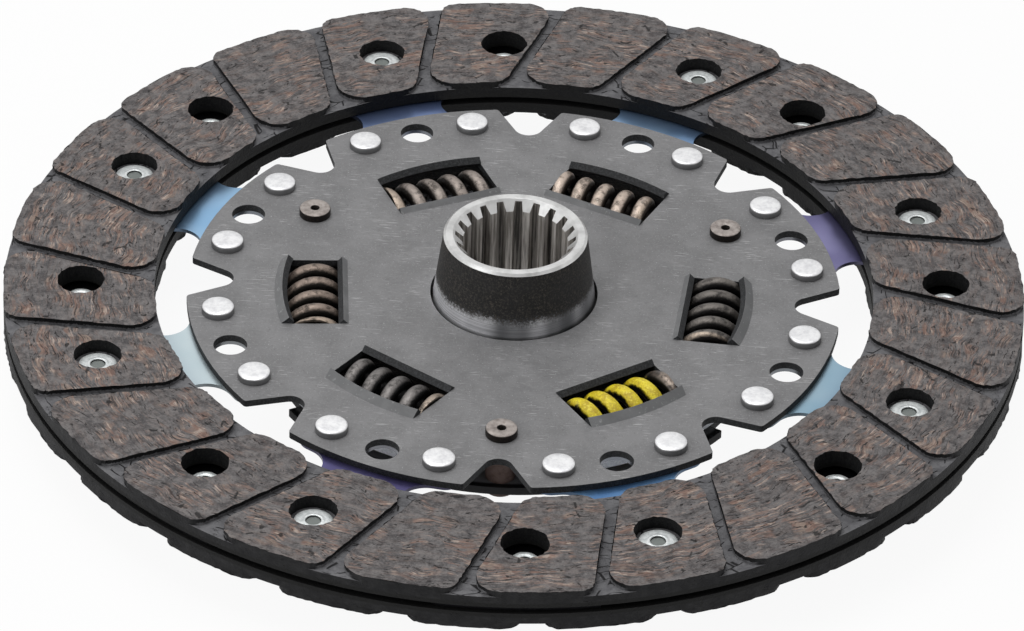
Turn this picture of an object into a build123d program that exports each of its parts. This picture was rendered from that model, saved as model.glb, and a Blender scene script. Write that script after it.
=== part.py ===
from build123d import *
import os
from math import asin, atan2, cos, degrees, hypot, radians, sin, sqrt, tan

# Sprung clutch disc for a 190 mm dry clutch. Millimetres, +Z up.
# Origin: on the disc's axis, in the mid-plane of the cushion segments.

# ---------------------------------------------------------------- driving dimensions
# Friction facings
FACING_OUTER_D = 190.0
FACING_INNER_D = 134.0
FACING_T = 3.5
PAD_COUNT = 24
GROOVE_W = 2.1
GROOVE_DEPTH = 1.3
GROOVE_OFFSET = 24.5  # how far a groove's centre line passes from the disc's axis
PAD_INNER_LEAD_R = 5.0  # the pad's four corner radii, lead being the side of rising angle
PAD_INNER_TRAIL_R = 4.0
PAD_OUTER_TRAIL_R = 4.5
PAD_OUTER_LEAD_R = 3.0
UPPER_GROOVE_TURN = -17.9
LOWER_GROOVE_TURN = -20.9

# Cushion segments
SEGMENT_COUNT = 8
SEGMENT_T = 0.7
CUSHION_TRAVEL = 0.6  # how much further the facings stand apart than one segment is thick
FIRST_LOBE_TURN = 22.5
ROOT_DEPTH = 9.7  # radial width of the part that is riveted to the carrier plate
ROOT_EDGE_MARGIN = 0.3  # how far the root stays inside the lobe's edge
ROOT_HALF_ANGLE = 16.0
ROOT_CORNER_R = 3.0
NECK_W = 16.4
NECK_ROOT_FILLET = 5.0
NECK_THROAT_FILLET = 4.0
PADDLE_INNER_INSET = 2.6  # how far the paddle's edges lie inside the facings' edges
PADDLE_OUTER_INSET = 1.0
RAMP_INSET = 6.0  # from the facings' inner edge to the step up or down to a facing
RAMP_L = 3.0
PADDLE_LEAD_ANGLE = 13.3
PADDLE_TRAIL_ANGLE = -29.3
WING_SLOT_ANGLE = -9.6
WING_SLOT_W = 1.8
WING_SLOT_INSET = 5.5  # from the facings' inner edge to where the wings part
WING_CORNER_R = 3.0

# Facing rivets
FACING_RIVET_INSET = 0.4  # from the middle of the facing's width towards the axis
UPPER_RIVET_ANGLE = -1.0  # from the middle of the segment's neck
LOWER_RIVET_ANGLE = -18.2
RIVET_POCKET_D = 8.8
RIVET_LEDGE_T = 0.9
FACING_RIVET_HEAD_D = 7.3
FACING_RIVET_HEAD_T = 0.5
FACING_RIVET_SHANK_D = 4.6
FACING_RIVET_BORE_D = 2.6
FACING_RIVET_TAIL_D = 5.4
FACING_RIVET_TAIL_T = 0.3

# Carrier plate
CARRIER_T = 1.4
LOBE_GAP = 6.0  # radial gap between the lobes and the facings
LOBE_CORNER_R = 0.8
NOTCH_DEPTH = 8.6
NOTCH_ROOT_R = 2.75
NOTCH_FLANK_ANGLE = 28.5
LOBE_HOLE_D = 6.2
HUB_GAP = 0.5  # radial gap between the hub's collar and the carrier plate

# Root rivets, which hold the segments to the carrier plate
ROOT_RIVET_INSET = 5.5  # from the lobe's edge
ROOT_RIVET_ANGLE = 11.25  # to either side of the middle of a lobe
ROOT_RIVET_HEAD_D = 6.1
ROOT_RIVET_HEAD_T = 1.4
ROOT_RIVET_CHAMFER = 0.35
ROOT_RIVET_SHANK_D = 4.2
ROOT_RIVET_TAIL_D = 6.6
ROOT_RIVET_TAIL_T = 1.0
SHANK_SIDES = 8  # upset shanks fill their punched holes, and both are drawn eight-sided

# Damper springs and their windows
ARM_COUNT = 3
ARM_TURN = 90.0
SPRING_HALF_ANGLE = 25.35  # each arm carries a spring to either side of its middle
SPRING_R = 37.3
SPRING_OD = 12.4
SPRING_L = 20.1
WIRE_D = 3.0
WIRE_SIDES = 6
SPRING_PITCH = 4.28
SPRING_HALF_TURNS = 10
PLATE_WINDOW_L = 20.4
HUB_WINDOW_L = 20.2
LIP_ANGLE = 43.0
INNER_LIP_GRIP = 0.76  # how far a lip's edge lies inside the springs' edge
INNER_LIP_H = 0.9
OUTER_LIP_GRIP = 0.3
OUTER_LIP_H = 1.35
LIP_LAND = 0.4  # flat sheet between a lip's crease and the window's cut

# Retainer plate
PLATE_SPACING = 7.9  # between the carrier plate and the retainer plate
RETAINER_T = 1.7
RETAINER_MARGIN = 5.1  # outside the springs' edge
RETAINER_NOTCH_W = 8.0
RETAINER_NOTCH_DEPTH = 2.6

# Stop pins, which also tie the two plates together
STOP_PIN_OUTSET = 1.3  # from the springs' edge to the pins' axes
STOP_PIN_HEAD_D = 5.9
STOP_PIN_HEAD_T = 1.5
STOP_PIN_SHANK_D = 4.6
STOP_PIN_BARREL_D = 5.6
STOP_PIN_TAIL_D = 6.0
STOP_PIN_TAIL_T = 1.3
STOP_PIN_MARK_D = 1.6
STOP_PIN_MARK_DEPTH = 2.0

# Hub
DAMPER_TRAVEL = 7.0  # degrees to either side
STOP_CLEARANCE = 0.3
HUB_FLANGE_T = 4.6
HUB_FLANGE_MARGIN = 3.9  # outside the springs' edge
HUB_RECESS_CLEARANCE = 0.6
SPRING_SIDE_CLEARANCE = 0.4
HUB_BASE_D = 30.2
HUB_RIM_D = 26.8
HUB_COLLAR_H = 13.3
HUB_LOWER_D = 28.6
HUB_LOWER_H = 4.2  # how far the hub stands below the retainer plate
HUB_EDGE_CHAMFER = 0.5
SPLINE_TEETH = 20
SPLINE_MAJOR_D = 22.4
SPLINE_MINOR_D = 19.6
SPLINE_GAP_ROOT_W = 1.25
SPLINE_GAP_MOUTH_W = 1.95
BORE_CHAMFER = 0.9

# Friction set between the hub flange and the two plates
FRICTION_RING_GAP = 2.6  # between the friction rings and the springs
FRICTION_RING_LOWER_T = 0.9
DIAPHRAGM_T = 0.5
DIAPHRAGM_OUTER_GAP = 0.7  # inside the friction rings' edge
DIAPHRAGM_INNER_GAP = 0.9  # outside the bush
BUSH_WALL = 2.45
BUSH_RISE = 0.65  # how far the bush stands up past the retainer plate
BUSH_RUNNING_FIT = 0.05

CUT_MARGIN = 1.0  # how far a cutting shape runs past what it cuts

# ---------------------------------------------------------------- worked-out radii
FACING_OUTER_R = FACING_OUTER_D / 2
FACING_INNER_R = FACING_INNER_D / 2
FACING_RIVET_PCD_R = (FACING_OUTER_R + FACING_INNER_R) / 2 - FACING_RIVET_INSET
PADDLE_OUTER_R = FACING_OUTER_R - PADDLE_OUTER_INSET
PADDLE_INNER_R = FACING_INNER_R + PADDLE_INNER_INSET
RAMP_START_R = FACING_INNER_R + RAMP_INSET
RAMP_END_R = RAMP_START_R + RAMP_L
WING_SLOT_START_R = FACING_INNER_R + WING_SLOT_INSET
LOBE_R = FACING_INNER_R - LOBE_GAP
NOTCH_BOTTOM_R = LOBE_R - NOTCH_DEPTH
ROOT_OUTER_R = LOBE_R - ROOT_EDGE_MARGIN
ROOT_INNER_R = ROOT_OUTER_R - ROOT_DEPTH
ROOT_RIVET_PCD_R = LOBE_R - ROOT_RIVET_INSET
SPRING_INNER_R = SPRING_R - SPRING_OD / 2
SPRING_OUTER_R = SPRING_R + SPRING_OD / 2
INNER_LIP_EDGE_R = SPRING_INNER_R + INNER_LIP_GRIP
OUTER_LIP_EDGE_R = SPRING_OUTER_R - OUTER_LIP_GRIP
STOP_PIN_R = SPRING_OUTER_R + STOP_PIN_OUTSET
HUB_FLANGE_R = SPRING_OUTER_R + HUB_FLANGE_MARGIN
RETAINER_R = SPRING_OUTER_R + RETAINER_MARGIN
FRICTION_RING_R = SPRING_INNER_R - FRICTION_RING_GAP
BUSH_INNER_R = HUB_BASE_D / 2 + BUSH_RUNNING_FIT
BUSH_OUTER_R = BUSH_INNER_R + BUSH_WALL

# ---------------------------------------------------------------- worked-out levels
FACING_GAP = SEGMENT_T + CUSHION_TRAVEL
UPPER_FACING_Z = FACING_GAP / 2
CARRIER_BOTTOM_Z = SEGMENT_T / 2
CARRIER_TOP_Z = CARRIER_BOTTOM_Z + CARRIER_T
RETAINER_TOP_Z = CARRIER_BOTTOM_Z - PLATE_SPACING
RETAINER_BOTTOM_Z = RETAINER_TOP_Z - RETAINER_T
SPRING_Z = (CARRIER_BOTTOM_Z + RETAINER_TOP_Z) / 2
FLANGE_TOP_Z = SPRING_Z + HUB_FLANGE_T / 2
FLANGE_BOTTOM_Z = SPRING_Z - HUB_FLANGE_T / 2
HUB_TOP_Z = CARRIER_TOP_Z + HUB_COLLAR_H
HUB_BOTTOM_Z = RETAINER_BOTTOM_Z - HUB_LOWER_H

LOBE_ANGLES = [FIRST_LOBE_TURN + i * 360 / SEGMENT_COUNT for i in range(SEGMENT_COUNT)]
NOTCH_ANGLES = [a + 180 / SEGMENT_COUNT for a in LOBE_ANGLES]
ARM_ANGLES = [ARM_TURN + i * 360 / ARM_COUNT for i in range(ARM_COUNT)]
PIN_ANGLES = [a + 180 / ARM_COUNT for a in ARM_ANGLES]
SPRING_ANGLES = [a + side * SPRING_HALF_ANGLE for a in ARM_ANGLES for side in (-1, 1)]
UPPER_RIVET_ANGLES = [a + UPPER_RIVET_ANGLE for a in LOBE_ANGLES]
LOWER_RIVET_ANGLES = [a + LOWER_RIVET_ANGLE for a in LOBE_ANGLES]
ROOT_RIVET_ANGLES = [a + side * ROOT_RIVET_ANGLE for a in LOBE_ANGLES for side in (-1, 1)]


# ---------------------------------------------------------------- helpers
def polar(radius, angle):
    """A point at a radius and an angle in degrees."""
    return Vector(radius * cos(radians(angle)), radius * sin(radians(angle)))


def offset_line_point(radius, offset, angle):
    """Where a line that runs outwards along an angle, shifted sideways, crosses a radius."""
    return Vector(sqrt(radius**2 - offset**2), offset).rotate(Axis.Z, angle)


def at_angles(shape, radius, angles):
    """Copies of a shape at a radius and each of some angles, as a list."""
    return [Rot(0, 0, a) * (Pos(radius, 0, 0) * shape) for a in angles]


def slab(sketch, bottom, top):
    """A flat sketch made solid between two levels."""
    return extrude(Pos(0, 0, bottom) * sketch, amount=top - bottom)


def disc(diameter, bottom, top):
    return slab(Circle(diameter / 2), bottom, top)


def ring(outer_r, inner_r, bottom, top):
    return slab(Circle(outer_r) - Circle(inner_r), bottom, top)


def shank(diameter, bottom, top):
    """An upset shank, or the punched hole that it fills."""
    return slab(RegularPolygon(diameter / 2, SHANK_SIDES), bottom, top)


def turned(points):
    """A solid of revolution about Z from its half profile of (radius, height) points."""
    outline = Polyline(*[(r, 0, z) for r, z in points], close=True)
    return revolve(make_face(outline), Axis.Z)


def sector(outer_r, inner_r, low, high):
    """A flat ring sector between two angles."""
    mid = (low + high) / 2
    return make_face(
        [
            Line(polar(inner_r, low), polar(outer_r, low)),
            ThreePointArc(polar(outer_r, low), polar(outer_r, mid), polar(outer_r, high)),
            Line(polar(outer_r, high), polar(inner_r, high)),
            ThreePointArc(polar(inner_r, high), polar(inner_r, mid), polar(inner_r, low)),
        ]
    )


def rounded(sketch, point, radius):
    """The sketch with the corner nearest a point rounded."""
    corner = sketch.vertices().sort_by_distance(point)[0]
    return fillet(corner, radius)


def save(shape, name):
    shape.label = name
    export_step(shape, f"parts/{name}.step")


# ---------------------------------------------------------------- friction facings
def pad_outline(groove_turn):
    """One friction pad between two skewed grooves, with its four corners rounded."""
    step = 360 / PAD_COUNT
    trail = GROOVE_OFFSET + GROOVE_W / 2
    lead = GROOVE_OFFSET - GROOVE_W / 2
    inner_trail = offset_line_point(FACING_INNER_R, trail, groove_turn)
    outer_trail = offset_line_point(FACING_OUTER_R, trail, groove_turn)
    outer_lead = offset_line_point(FACING_OUTER_R, lead, groove_turn + step)
    inner_lead = offset_line_point(FACING_INNER_R, lead, groove_turn + step)
    outer_mid = (outer_trail + outer_lead).normalized() * FACING_OUTER_R
    inner_mid = (inner_trail + inner_lead).normalized() * FACING_INNER_R
    pad = make_face(
        [
            Line(inner_trail, outer_trail),
            ThreePointArc(outer_trail, outer_mid, outer_lead),
            Line(outer_lead, inner_lead),
            ThreePointArc(inner_lead, inner_mid, inner_trail),
        ]
    )
    pad = rounded(pad, inner_lead, PAD_INNER_LEAD_R)
    pad = rounded(pad, inner_trail, PAD_INNER_TRAIL_R)
    pad = rounded(pad, outer_trail, PAD_OUTER_TRAIL_R)
    return rounded(pad, outer_lead, PAD_OUTER_LEAD_R)


def make_facing(groove_turn, own_angles, other_angles):
    """A grooved facing with its back at z=0, pockets for its rivets and holes over the other's."""
    floor = FACING_T - GROOVE_DEPTH
    backing = ring(FACING_OUTER_R, FACING_INNER_R, 0, floor)
    pad = slab(pad_outline(groove_turn), floor, FACING_T)
    pads = [Rot(0, 0, i * 360 / PAD_COUNT) * pad for i in range(PAD_COUNT)]
    facing = backing + pads
    pocket = disc(RIVET_POCKET_D, RIVET_LEDGE_T, FACING_T)
    pocket += shank(FACING_RIVET_SHANK_D, 0, RIVET_LEDGE_T)
    clearance = disc(RIVET_POCKET_D, 0, FACING_T)
    facing -= at_angles(pocket, FACING_RIVET_PCD_R, own_angles)
    return facing - at_angles(clearance, FACING_RIVET_PCD_R, other_angles)


def make_facing_rivet():
    """A tubular rivet, head up, with the facing's back at z=0."""
    head_top = RIVET_LEDGE_T + FACING_RIVET_HEAD_T
    rivet = disc(FACING_RIVET_HEAD_D, RIVET_LEDGE_T, head_top)
    rivet += shank(FACING_RIVET_SHANK_D, -SEGMENT_T, RIVET_LEDGE_T)
    rivet += disc(FACING_RIVET_TAIL_D, -SEGMENT_T - FACING_RIVET_TAIL_T, -SEGMENT_T)
    return rivet - disc(FACING_RIVET_BORE_D, -SEGMENT_T - FACING_RIVET_TAIL_T, head_top)


def raised(shape):
    """From a facing's own frame to the upper side of the disc."""
    return Pos(0, 0, UPPER_FACING_Z) * shape


def turned_over(shape):
    """From a facing's own frame to the lower side of the disc."""
    return Pos(0, 0, -UPPER_FACING_Z) * (Rot(180, 0, 0) * shape)


def build_facings():
    lower_own = [-a for a in LOWER_RIVET_ANGLES]
    lower_other = [-a for a in UPPER_RIVET_ANGLES]
    upper = make_facing(UPPER_GROOVE_TURN, UPPER_RIVET_ANGLES, LOWER_RIVET_ANGLES)
    lower = make_facing(LOWER_GROOVE_TURN, lower_own, lower_other)
    save(raised(upper), "upper_facing")
    save(turned_over(lower), "lower_facing")
    upper_rivets = at_angles(make_facing_rivet(), FACING_RIVET_PCD_R, UPPER_RIVET_ANGLES)
    lower_rivets = at_angles(make_facing_rivet(), FACING_RIVET_PCD_R, lower_own)
    save(Compound(children=[raised(r) for r in upper_rivets]), "upper_facing_rivets")
    save(Compound(children=[turned_over(r) for r in lower_rivets]), "lower_facing_rivets")


# ---------------------------------------------------------------- cushion segments
def waved_sheet(rise):
    """A turned sheet that steps up or down under the facings by the given rise."""
    half = SEGMENT_T / 2
    start, end = ROOT_INNER_R - CUT_MARGIN, PADDLE_OUTER_R + CUT_MARGIN
    line = [(start, 0), (RAMP_START_R, 0), (RAMP_END_R, rise), (end, rise)]
    top = [(r, z + half) for r, z in line]
    bottom = [(r, z - half) for r, z in reversed(line)]
    return turned(top + bottom)


def stem_outline():
    """The segment's root and neck along +X, with the neck let into the band under the facings."""
    stem = sector(ROOT_OUTER_R, ROOT_INNER_R, -ROOT_HALF_ANGLE, ROOT_HALF_ANGLE)
    for radius in (ROOT_INNER_R, ROOT_OUTER_R):
        for angle in (-ROOT_HALF_ANGLE, ROOT_HALF_ANGLE):
            stem = rounded(stem, polar(radius, angle), ROOT_CORNER_R)
    neck_start, neck_end = ROOT_OUTER_R - ROOT_CORNER_R, PADDLE_INNER_R + CUT_MARGIN
    stem += Pos((neck_start + neck_end) / 2, 0) * Rectangle(neck_end - neck_start, NECK_W)
    return stem + sector(PADDLE_OUTER_R, PADDLE_INNER_R, PADDLE_TRAIL_ANGLE, PADDLE_LEAD_ANGLE)


def segment_outline():
    """The whole blank: root, neck and a paddle slit into two wings."""
    outline = stem_outline()
    half_neck = NECK_W / 2
    for side in (-1, 1):
        shoulder = Vector(sqrt(ROOT_OUTER_R**2 - half_neck**2), side * half_neck)
        throat = Vector(sqrt(PADDLE_INNER_R**2 - half_neck**2), side * half_neck)
        outline = rounded(outline, shoulder, NECK_ROOT_FILLET)
        outline = rounded(outline, throat, NECK_THROAT_FILLET)
    for angle in (PADDLE_TRAIL_ANGLE, PADDLE_LEAD_ANGLE):
        outline = rounded(outline, polar(PADDLE_OUTER_R, angle), WING_CORNER_R)
    slot_l = PADDLE_OUTER_R + CUT_MARGIN - WING_SLOT_START_R
    slot = Pos(WING_SLOT_START_R + slot_l / 2, 0) * Rectangle(slot_l, WING_SLOT_W)
    return outline - Rot(0, 0, WING_SLOT_ANGLE) * slot


def make_segment():
    """A segment with its neck along +X; one wing rises to the upper facing, one drops to the lower."""
    rise = CUSHION_TRAVEL / 2
    outline = segment_outline()
    past_wing = PADDLE_TRAIL_ANGLE - degrees(CUT_MARGIN / PADDLE_OUTER_R)
    trail_zone = sector(PADDLE_OUTER_R + CUT_MARGIN, WING_SLOT_START_R, past_wing, WING_SLOT_ANGLE)
    low, high = -FACING_GAP, FACING_GAP
    segment = slab(outline - trail_zone, low, high) & waved_sheet(rise)
    segment += slab(outline & trail_zone, low, high) & waved_sheet(-rise)
    wing_hole = shank(FACING_RIVET_SHANK_D, low, high)
    root_hole = shank(ROOT_RIVET_SHANK_D, low, high)
    lobe_hole = disc(LOBE_HOLE_D, low, high)
    segment -= at_angles(wing_hole, FACING_RIVET_PCD_R, (UPPER_RIVET_ANGLE, LOWER_RIVET_ANGLE))
    segment -= at_angles(root_hole, ROOT_RIVET_PCD_R, (-ROOT_RIVET_ANGLE, ROOT_RIVET_ANGLE))
    return segment - at_angles(lobe_hole, ROOT_RIVET_PCD_R, (0,))


def build_segments():
    segment = make_segment()
    for number, angle in enumerate(LOBE_ANGLES, 1):
        save(Rot(0, 0, angle) * segment, f"cushion_segment_{number}")


# ---------------------------------------------------------------- sheet with spring windows
def window_cut():
    """What a spring window takes out of a sheet, along +X, at any level."""
    inner = INNER_LIP_EDGE_R - INNER_LIP_H / tan(radians(LIP_ANGLE)) - LIP_LAND / 2
    outer = OUTER_LIP_EDGE_R + OUTER_LIP_H / tan(radians(LIP_ANGLE)) + LIP_LAND / 2
    block = Pos(inner + outer / 2, 0) * Rectangle(outer, PLATE_WINDOW_L)
    return block & Circle(outer)


def lip_profile(edge_r, height, thickness, inwards):
    """A lip bent up from a sheet whose top is at z=0, as (radius, height) points."""
    bend = radians(LIP_ANGLE)
    step = -1 if inwards else 1  # the way from the lip's edge back to the flat sheet
    under = (edge_r - step * thickness * sin(bend), height - thickness * cos(bend))
    crease = edge_r + step * height / tan(bend)
    under_crease = under[0] + step * (under[1] + thickness) / tan(bend)
    land = crease + step * LIP_LAND
    return [(land, 0), (crease, 0), (edge_r, height), under, (under_crease, -thickness), (land, -thickness)]


def make_lips(thickness):
    """Both lips of one window along +X, on a sheet whose top is at z=0."""
    inner = lip_profile(INNER_LIP_EDGE_R, INNER_LIP_H, thickness, True)
    face = make_face(Polyline(*[(r, 0, z) for r, z in inner], close=True))
    straight = extrude(face, amount=PLATE_WINDOW_L / 2, both=True)
    curved = turned(lip_profile(OUTER_LIP_EDGE_R, OUTER_LIP_H, thickness, False))
    reach = 2 * (OUTER_LIP_H + thickness + CUT_MARGIN)
    keep = Pos(OUTER_LIP_EDGE_R, 0, 0) * Box(OUTER_LIP_EDGE_R, PLATE_WINDOW_L, reach)
    return [straight, curved & keep]


def windowed_sheet(outline, thickness):
    """A sheet with its top at z=0, spring windows cut through it and their lips bent up."""
    flat = slab(outline, -thickness, 0)
    cut = slab(window_cut(), -thickness, 0)
    flat -= [Rot(0, 0, a) * cut for a in SPRING_ANGLES]
    lips = make_lips(thickness)
    return flat + [Rot(0, 0, a) * lip for a in SPRING_ANGLES for lip in lips]


def notch_outline():
    """One of the carrier plate's notches between two lobes, along +X: a V with a round root."""
    flank = radians(NOTCH_FLANK_ANGLE)
    apex = NOTCH_BOTTOM_R - NOTCH_ROOT_R * (1 / sin(flank) - 1)
    mouth_r = LOBE_R + CUT_MARGIN
    half_mouth = (mouth_r - apex) * tan(flank)
    notch = make_face(Polyline((apex, 0), (mouth_r, -half_mouth), (mouth_r, half_mouth), close=True))
    return rounded(notch, Vector(apex, 0), NOTCH_ROOT_R)


def build_carrier_plate():
    outline = Circle(LOBE_R) - Circle(HUB_BASE_D / 2 + HUB_GAP)
    outline -= [Rot(0, 0, a) * notch_outline() for a in NOTCH_ANGLES]
    tips = [v for v in outline.vertices() if abs(hypot(v.X, v.Y) - LOBE_R) < LOBE_CORNER_R]
    outline = fillet(tips, LOBE_CORNER_R)
    plate = Pos(0, 0, CARRIER_TOP_Z) * windowed_sheet(outline, CARRIER_T)
    low, high = CARRIER_BOTTOM_Z, CARRIER_TOP_Z
    holes = at_angles(shank(ROOT_RIVET_SHANK_D, low, high), ROOT_RIVET_PCD_R, ROOT_RIVET_ANGLES)
    holes += at_angles(disc(LOBE_HOLE_D, low, high), ROOT_RIVET_PCD_R, LOBE_ANGLES)
    holes += at_angles(shank(STOP_PIN_SHANK_D, low, high), STOP_PIN_R, PIN_ANGLES)
    save(plate - holes, "carrier_plate")


def build_retainer_plate():
    notch = Pos(RETAINER_R, 0) * Rectangle(2 * RETAINER_NOTCH_DEPTH, RETAINER_NOTCH_W)
    outline = Circle(RETAINER_R) - Circle(BUSH_OUTER_R)
    outline -= [Rot(0, 0, a) * notch for a in ARM_ANGLES]
    sheet = mirror(windowed_sheet(outline, RETAINER_T), Plane.XY)
    plate = Pos(0, 0, RETAINER_BOTTOM_Z) * sheet
    hole = shank(STOP_PIN_SHANK_D, RETAINER_BOTTOM_Z, RETAINER_TOP_Z)
    save(plate - at_angles(hole, STOP_PIN_R, PIN_ANGLES), "retainer_plate")


# ---------------------------------------------------------------- plate fasteners
def build_root_rivets():
    """Flat-headed rivets through the carrier plate and the segments' roots."""
    head_top = CARRIER_TOP_Z + ROOT_RIVET_HEAD_T
    tail_bottom = -CARRIER_BOTTOM_Z - ROOT_RIVET_TAIL_T
    radius = ROOT_RIVET_HEAD_D / 2
    edge = radius - ROOT_RIVET_CHAMFER
    shoulder = head_top - ROOT_RIVET_CHAMFER
    side = [(radius, CARRIER_TOP_Z), (radius, shoulder), (edge, head_top)]
    rivet = turned([(0, CARRIER_TOP_Z), *side, (0, head_top)])
    rivet += shank(ROOT_RIVET_SHANK_D, -CARRIER_BOTTOM_Z, CARRIER_TOP_Z)
    rivet += disc(ROOT_RIVET_TAIL_D, tail_bottom, -CARRIER_BOTTOM_Z)
    save(Compound(children=at_angles(rivet, ROOT_RIVET_PCD_R, ROOT_RIVET_ANGLES)), "segment_rivets")


def build_stop_pins():
    """Stepped pins that hold the plates apart and stop the hub flange at the end of its travel."""
    head_top = CARRIER_TOP_Z + STOP_PIN_HEAD_T
    pin = disc(STOP_PIN_HEAD_D, CARRIER_TOP_Z, head_top)
    pin += shank(STOP_PIN_SHANK_D, RETAINER_BOTTOM_Z, CARRIER_TOP_Z)
    pin += disc(STOP_PIN_BARREL_D, RETAINER_TOP_Z, CARRIER_BOTTOM_Z)
    pin += disc(STOP_PIN_TAIL_D, RETAINER_BOTTOM_Z - STOP_PIN_TAIL_T, RETAINER_BOTTOM_Z)
    pin -= disc(STOP_PIN_MARK_D, head_top - STOP_PIN_MARK_DEPTH, head_top)
    save(Compound(children=at_angles(pin, STOP_PIN_R, PIN_ANGLES)), "stop_pins")


# ---------------------------------------------------------------- hub
def spline_gap():
    """The space between two spline teeth, along +X: straight flanks that narrow outwards."""
    mouth_r = SPLINE_MINOR_D / 2 - CUT_MARGIN / 2
    root_r = SPLINE_MAJOR_D / 2
    half_root = SPLINE_GAP_ROOT_W / 2
    half_mouth = SPLINE_GAP_MOUTH_W / 2
    corners = [(mouth_r, -half_mouth), (root_r, -half_root), (root_r, half_root), (mouth_r, half_mouth)]
    return slab(make_face(Polyline(*corners, close=True)), HUB_BOTTOM_Z, HUB_TOP_Z)


def flange_cuts():
    """The flange's spring windows and the recesses that the stop pins travel in."""
    low, high = FLANGE_BOTTOM_Z, FLANGE_TOP_Z
    window_w = SPRING_OD + 2 * SPRING_SIDE_CLEARANCE
    window = slab(Pos(SPRING_R, 0) * Rectangle(window_w, HUB_WINDOW_L), low, high)
    pin_half = degrees(asin((STOP_PIN_BARREL_D / 2 + STOP_CLEARANCE) / STOP_PIN_R))
    half = pin_half + DAMPER_TRAVEL
    floor_r = STOP_PIN_R - STOP_PIN_BARREL_D / 2 - HUB_RECESS_CLEARANCE
    recess = slab(sector(HUB_FLANGE_R + CUT_MARGIN, floor_r, -half, half), low, high)
    windows = [Rot(0, 0, a) * window for a in SPRING_ANGLES]
    return windows + [Rot(0, 0, a) * recess for a in PIN_ANGLES]


def build_hub():
    minor_r, major_r = SPLINE_MINOR_D / 2, SPLINE_MAJOR_D / 2
    base_r, rim_r, lower_r = HUB_BASE_D / 2, HUB_RIM_D / 2, HUB_LOWER_D / 2
    edge = HUB_EDGE_CHAMFER
    flare = major_r + BORE_CHAMFER / 2
    bore_run = flare - minor_r
    hub = turned(
        [
            (minor_r, HUB_BOTTOM_Z + bore_run),
            (flare, HUB_BOTTOM_Z),
            (lower_r - edge, HUB_BOTTOM_Z),
            (lower_r, HUB_BOTTOM_Z + edge),
            (lower_r, RETAINER_BOTTOM_Z - edge),
            (base_r, RETAINER_BOTTOM_Z),
            (base_r, FLANGE_BOTTOM_Z),
            (HUB_FLANGE_R, FLANGE_BOTTOM_Z),
            (HUB_FLANGE_R, FLANGE_TOP_Z),
            (base_r, FLANGE_TOP_Z),
            (base_r, CARRIER_TOP_Z),
            (rim_r, HUB_TOP_Z - edge),
            (rim_r - edge, HUB_TOP_Z),
            (flare, HUB_TOP_Z),
            (minor_r, HUB_TOP_Z - bore_run),
        ]
    )
    hub -= flange_cuts()
    gaps = [Rot(0, 0, ARM_TURN + i * 360 / SPLINE_TEETH) * spline_gap() for i in range(SPLINE_TEETH)]
    save(hub - gaps, "hub")


# ---------------------------------------------------------------- damper springs
def make_spring():
    """A coil spring with ground ends, along Y at the origin.

    Each half turn is a half ring tilted by a quarter of the pitch to either side, so that the
    half rings meet end to end with the wire upright.
    """
    mean_r = (SPRING_OD - WIRE_D) / 2
    rise = SPRING_PITCH / 4
    bend_r = hypot(mean_r, rise)
    tilt = degrees(atan2(rise, mean_r))
    wire = Plane.XY * (Pos(bend_r, 0) * RegularPolygon(WIRE_D / 2, WIRE_SIDES))
    half_ring = revolve(wire, Axis.Y, 180)
    start = (SPRING_HALF_TURNS - 1) * SPRING_PITCH / 4
    coil = []
    for i in range(SPRING_HALF_TURNS):
        middle = start - i * SPRING_PITCH / 2
        upper = i % 2 == 0
        piece = Rot(0, 0, tilt) * half_ring if upper else Rot(0, 0, -tilt) * (Rot(0, 180, 0) * half_ring)
        coil.append(Pos(0, middle, 0) * piece)
    return coil


def build_springs():
    keep = Box(2 * SPRING_OD, SPRING_L, 2 * SPRING_OD)
    pieces = make_spring()
    coil = pieces[0] + pieces[1:]
    spring = coil & keep
    for number, angle in enumerate(SPRING_ANGLES, 1):
        save(Rot(0, 0, angle) * (Pos(SPRING_R, 0, SPRING_Z) * spring), f"damper_spring_{number}")


# ---------------------------------------------------------------- friction set
def build_friction_set():
    neck_r = HUB_BASE_D / 2 + HUB_GAP
    save(ring(FRICTION_RING_R, neck_r, FLANGE_TOP_Z, CARRIER_BOTTOM_Z), "friction_ring_upper")
    lower_face = FLANGE_BOTTOM_Z - FRICTION_RING_LOWER_T
    lower_ring = ring(FRICTION_RING_R, BUSH_OUTER_R + HUB_GAP, lower_face, FLANGE_BOTTOM_Z)
    save(lower_ring, "friction_ring_lower")
    outer, inner = FRICTION_RING_R - DIAPHRAGM_OUTER_GAP, BUSH_OUTER_R + DIAPHRAGM_INNER_GAP
    cone = [
        (inner, RETAINER_TOP_Z),
        (outer, lower_face - DIAPHRAGM_T),
        (outer, lower_face),
        (inner, RETAINER_TOP_Z + DIAPHRAGM_T),
    ]
    save(turned(cone), "diaphragm_spring")
    bush_top = RETAINER_TOP_Z + BUSH_RISE
    save(ring(BUSH_OUTER_R, BUSH_INNER_R, RETAINER_BOTTOM_Z, bush_top), "centring_bush")


os.makedirs("parts", exist_ok=True)
build_facings()
build_segments()
build_carrier_plate()
build_retainer_plate()
build_root_rivets()
build_stop_pins()
build_hub()
build_springs()
build_friction_set()
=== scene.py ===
from math import cos, pi, radians, sin

import bpy
from mathutils import Matrix, Vector


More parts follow.
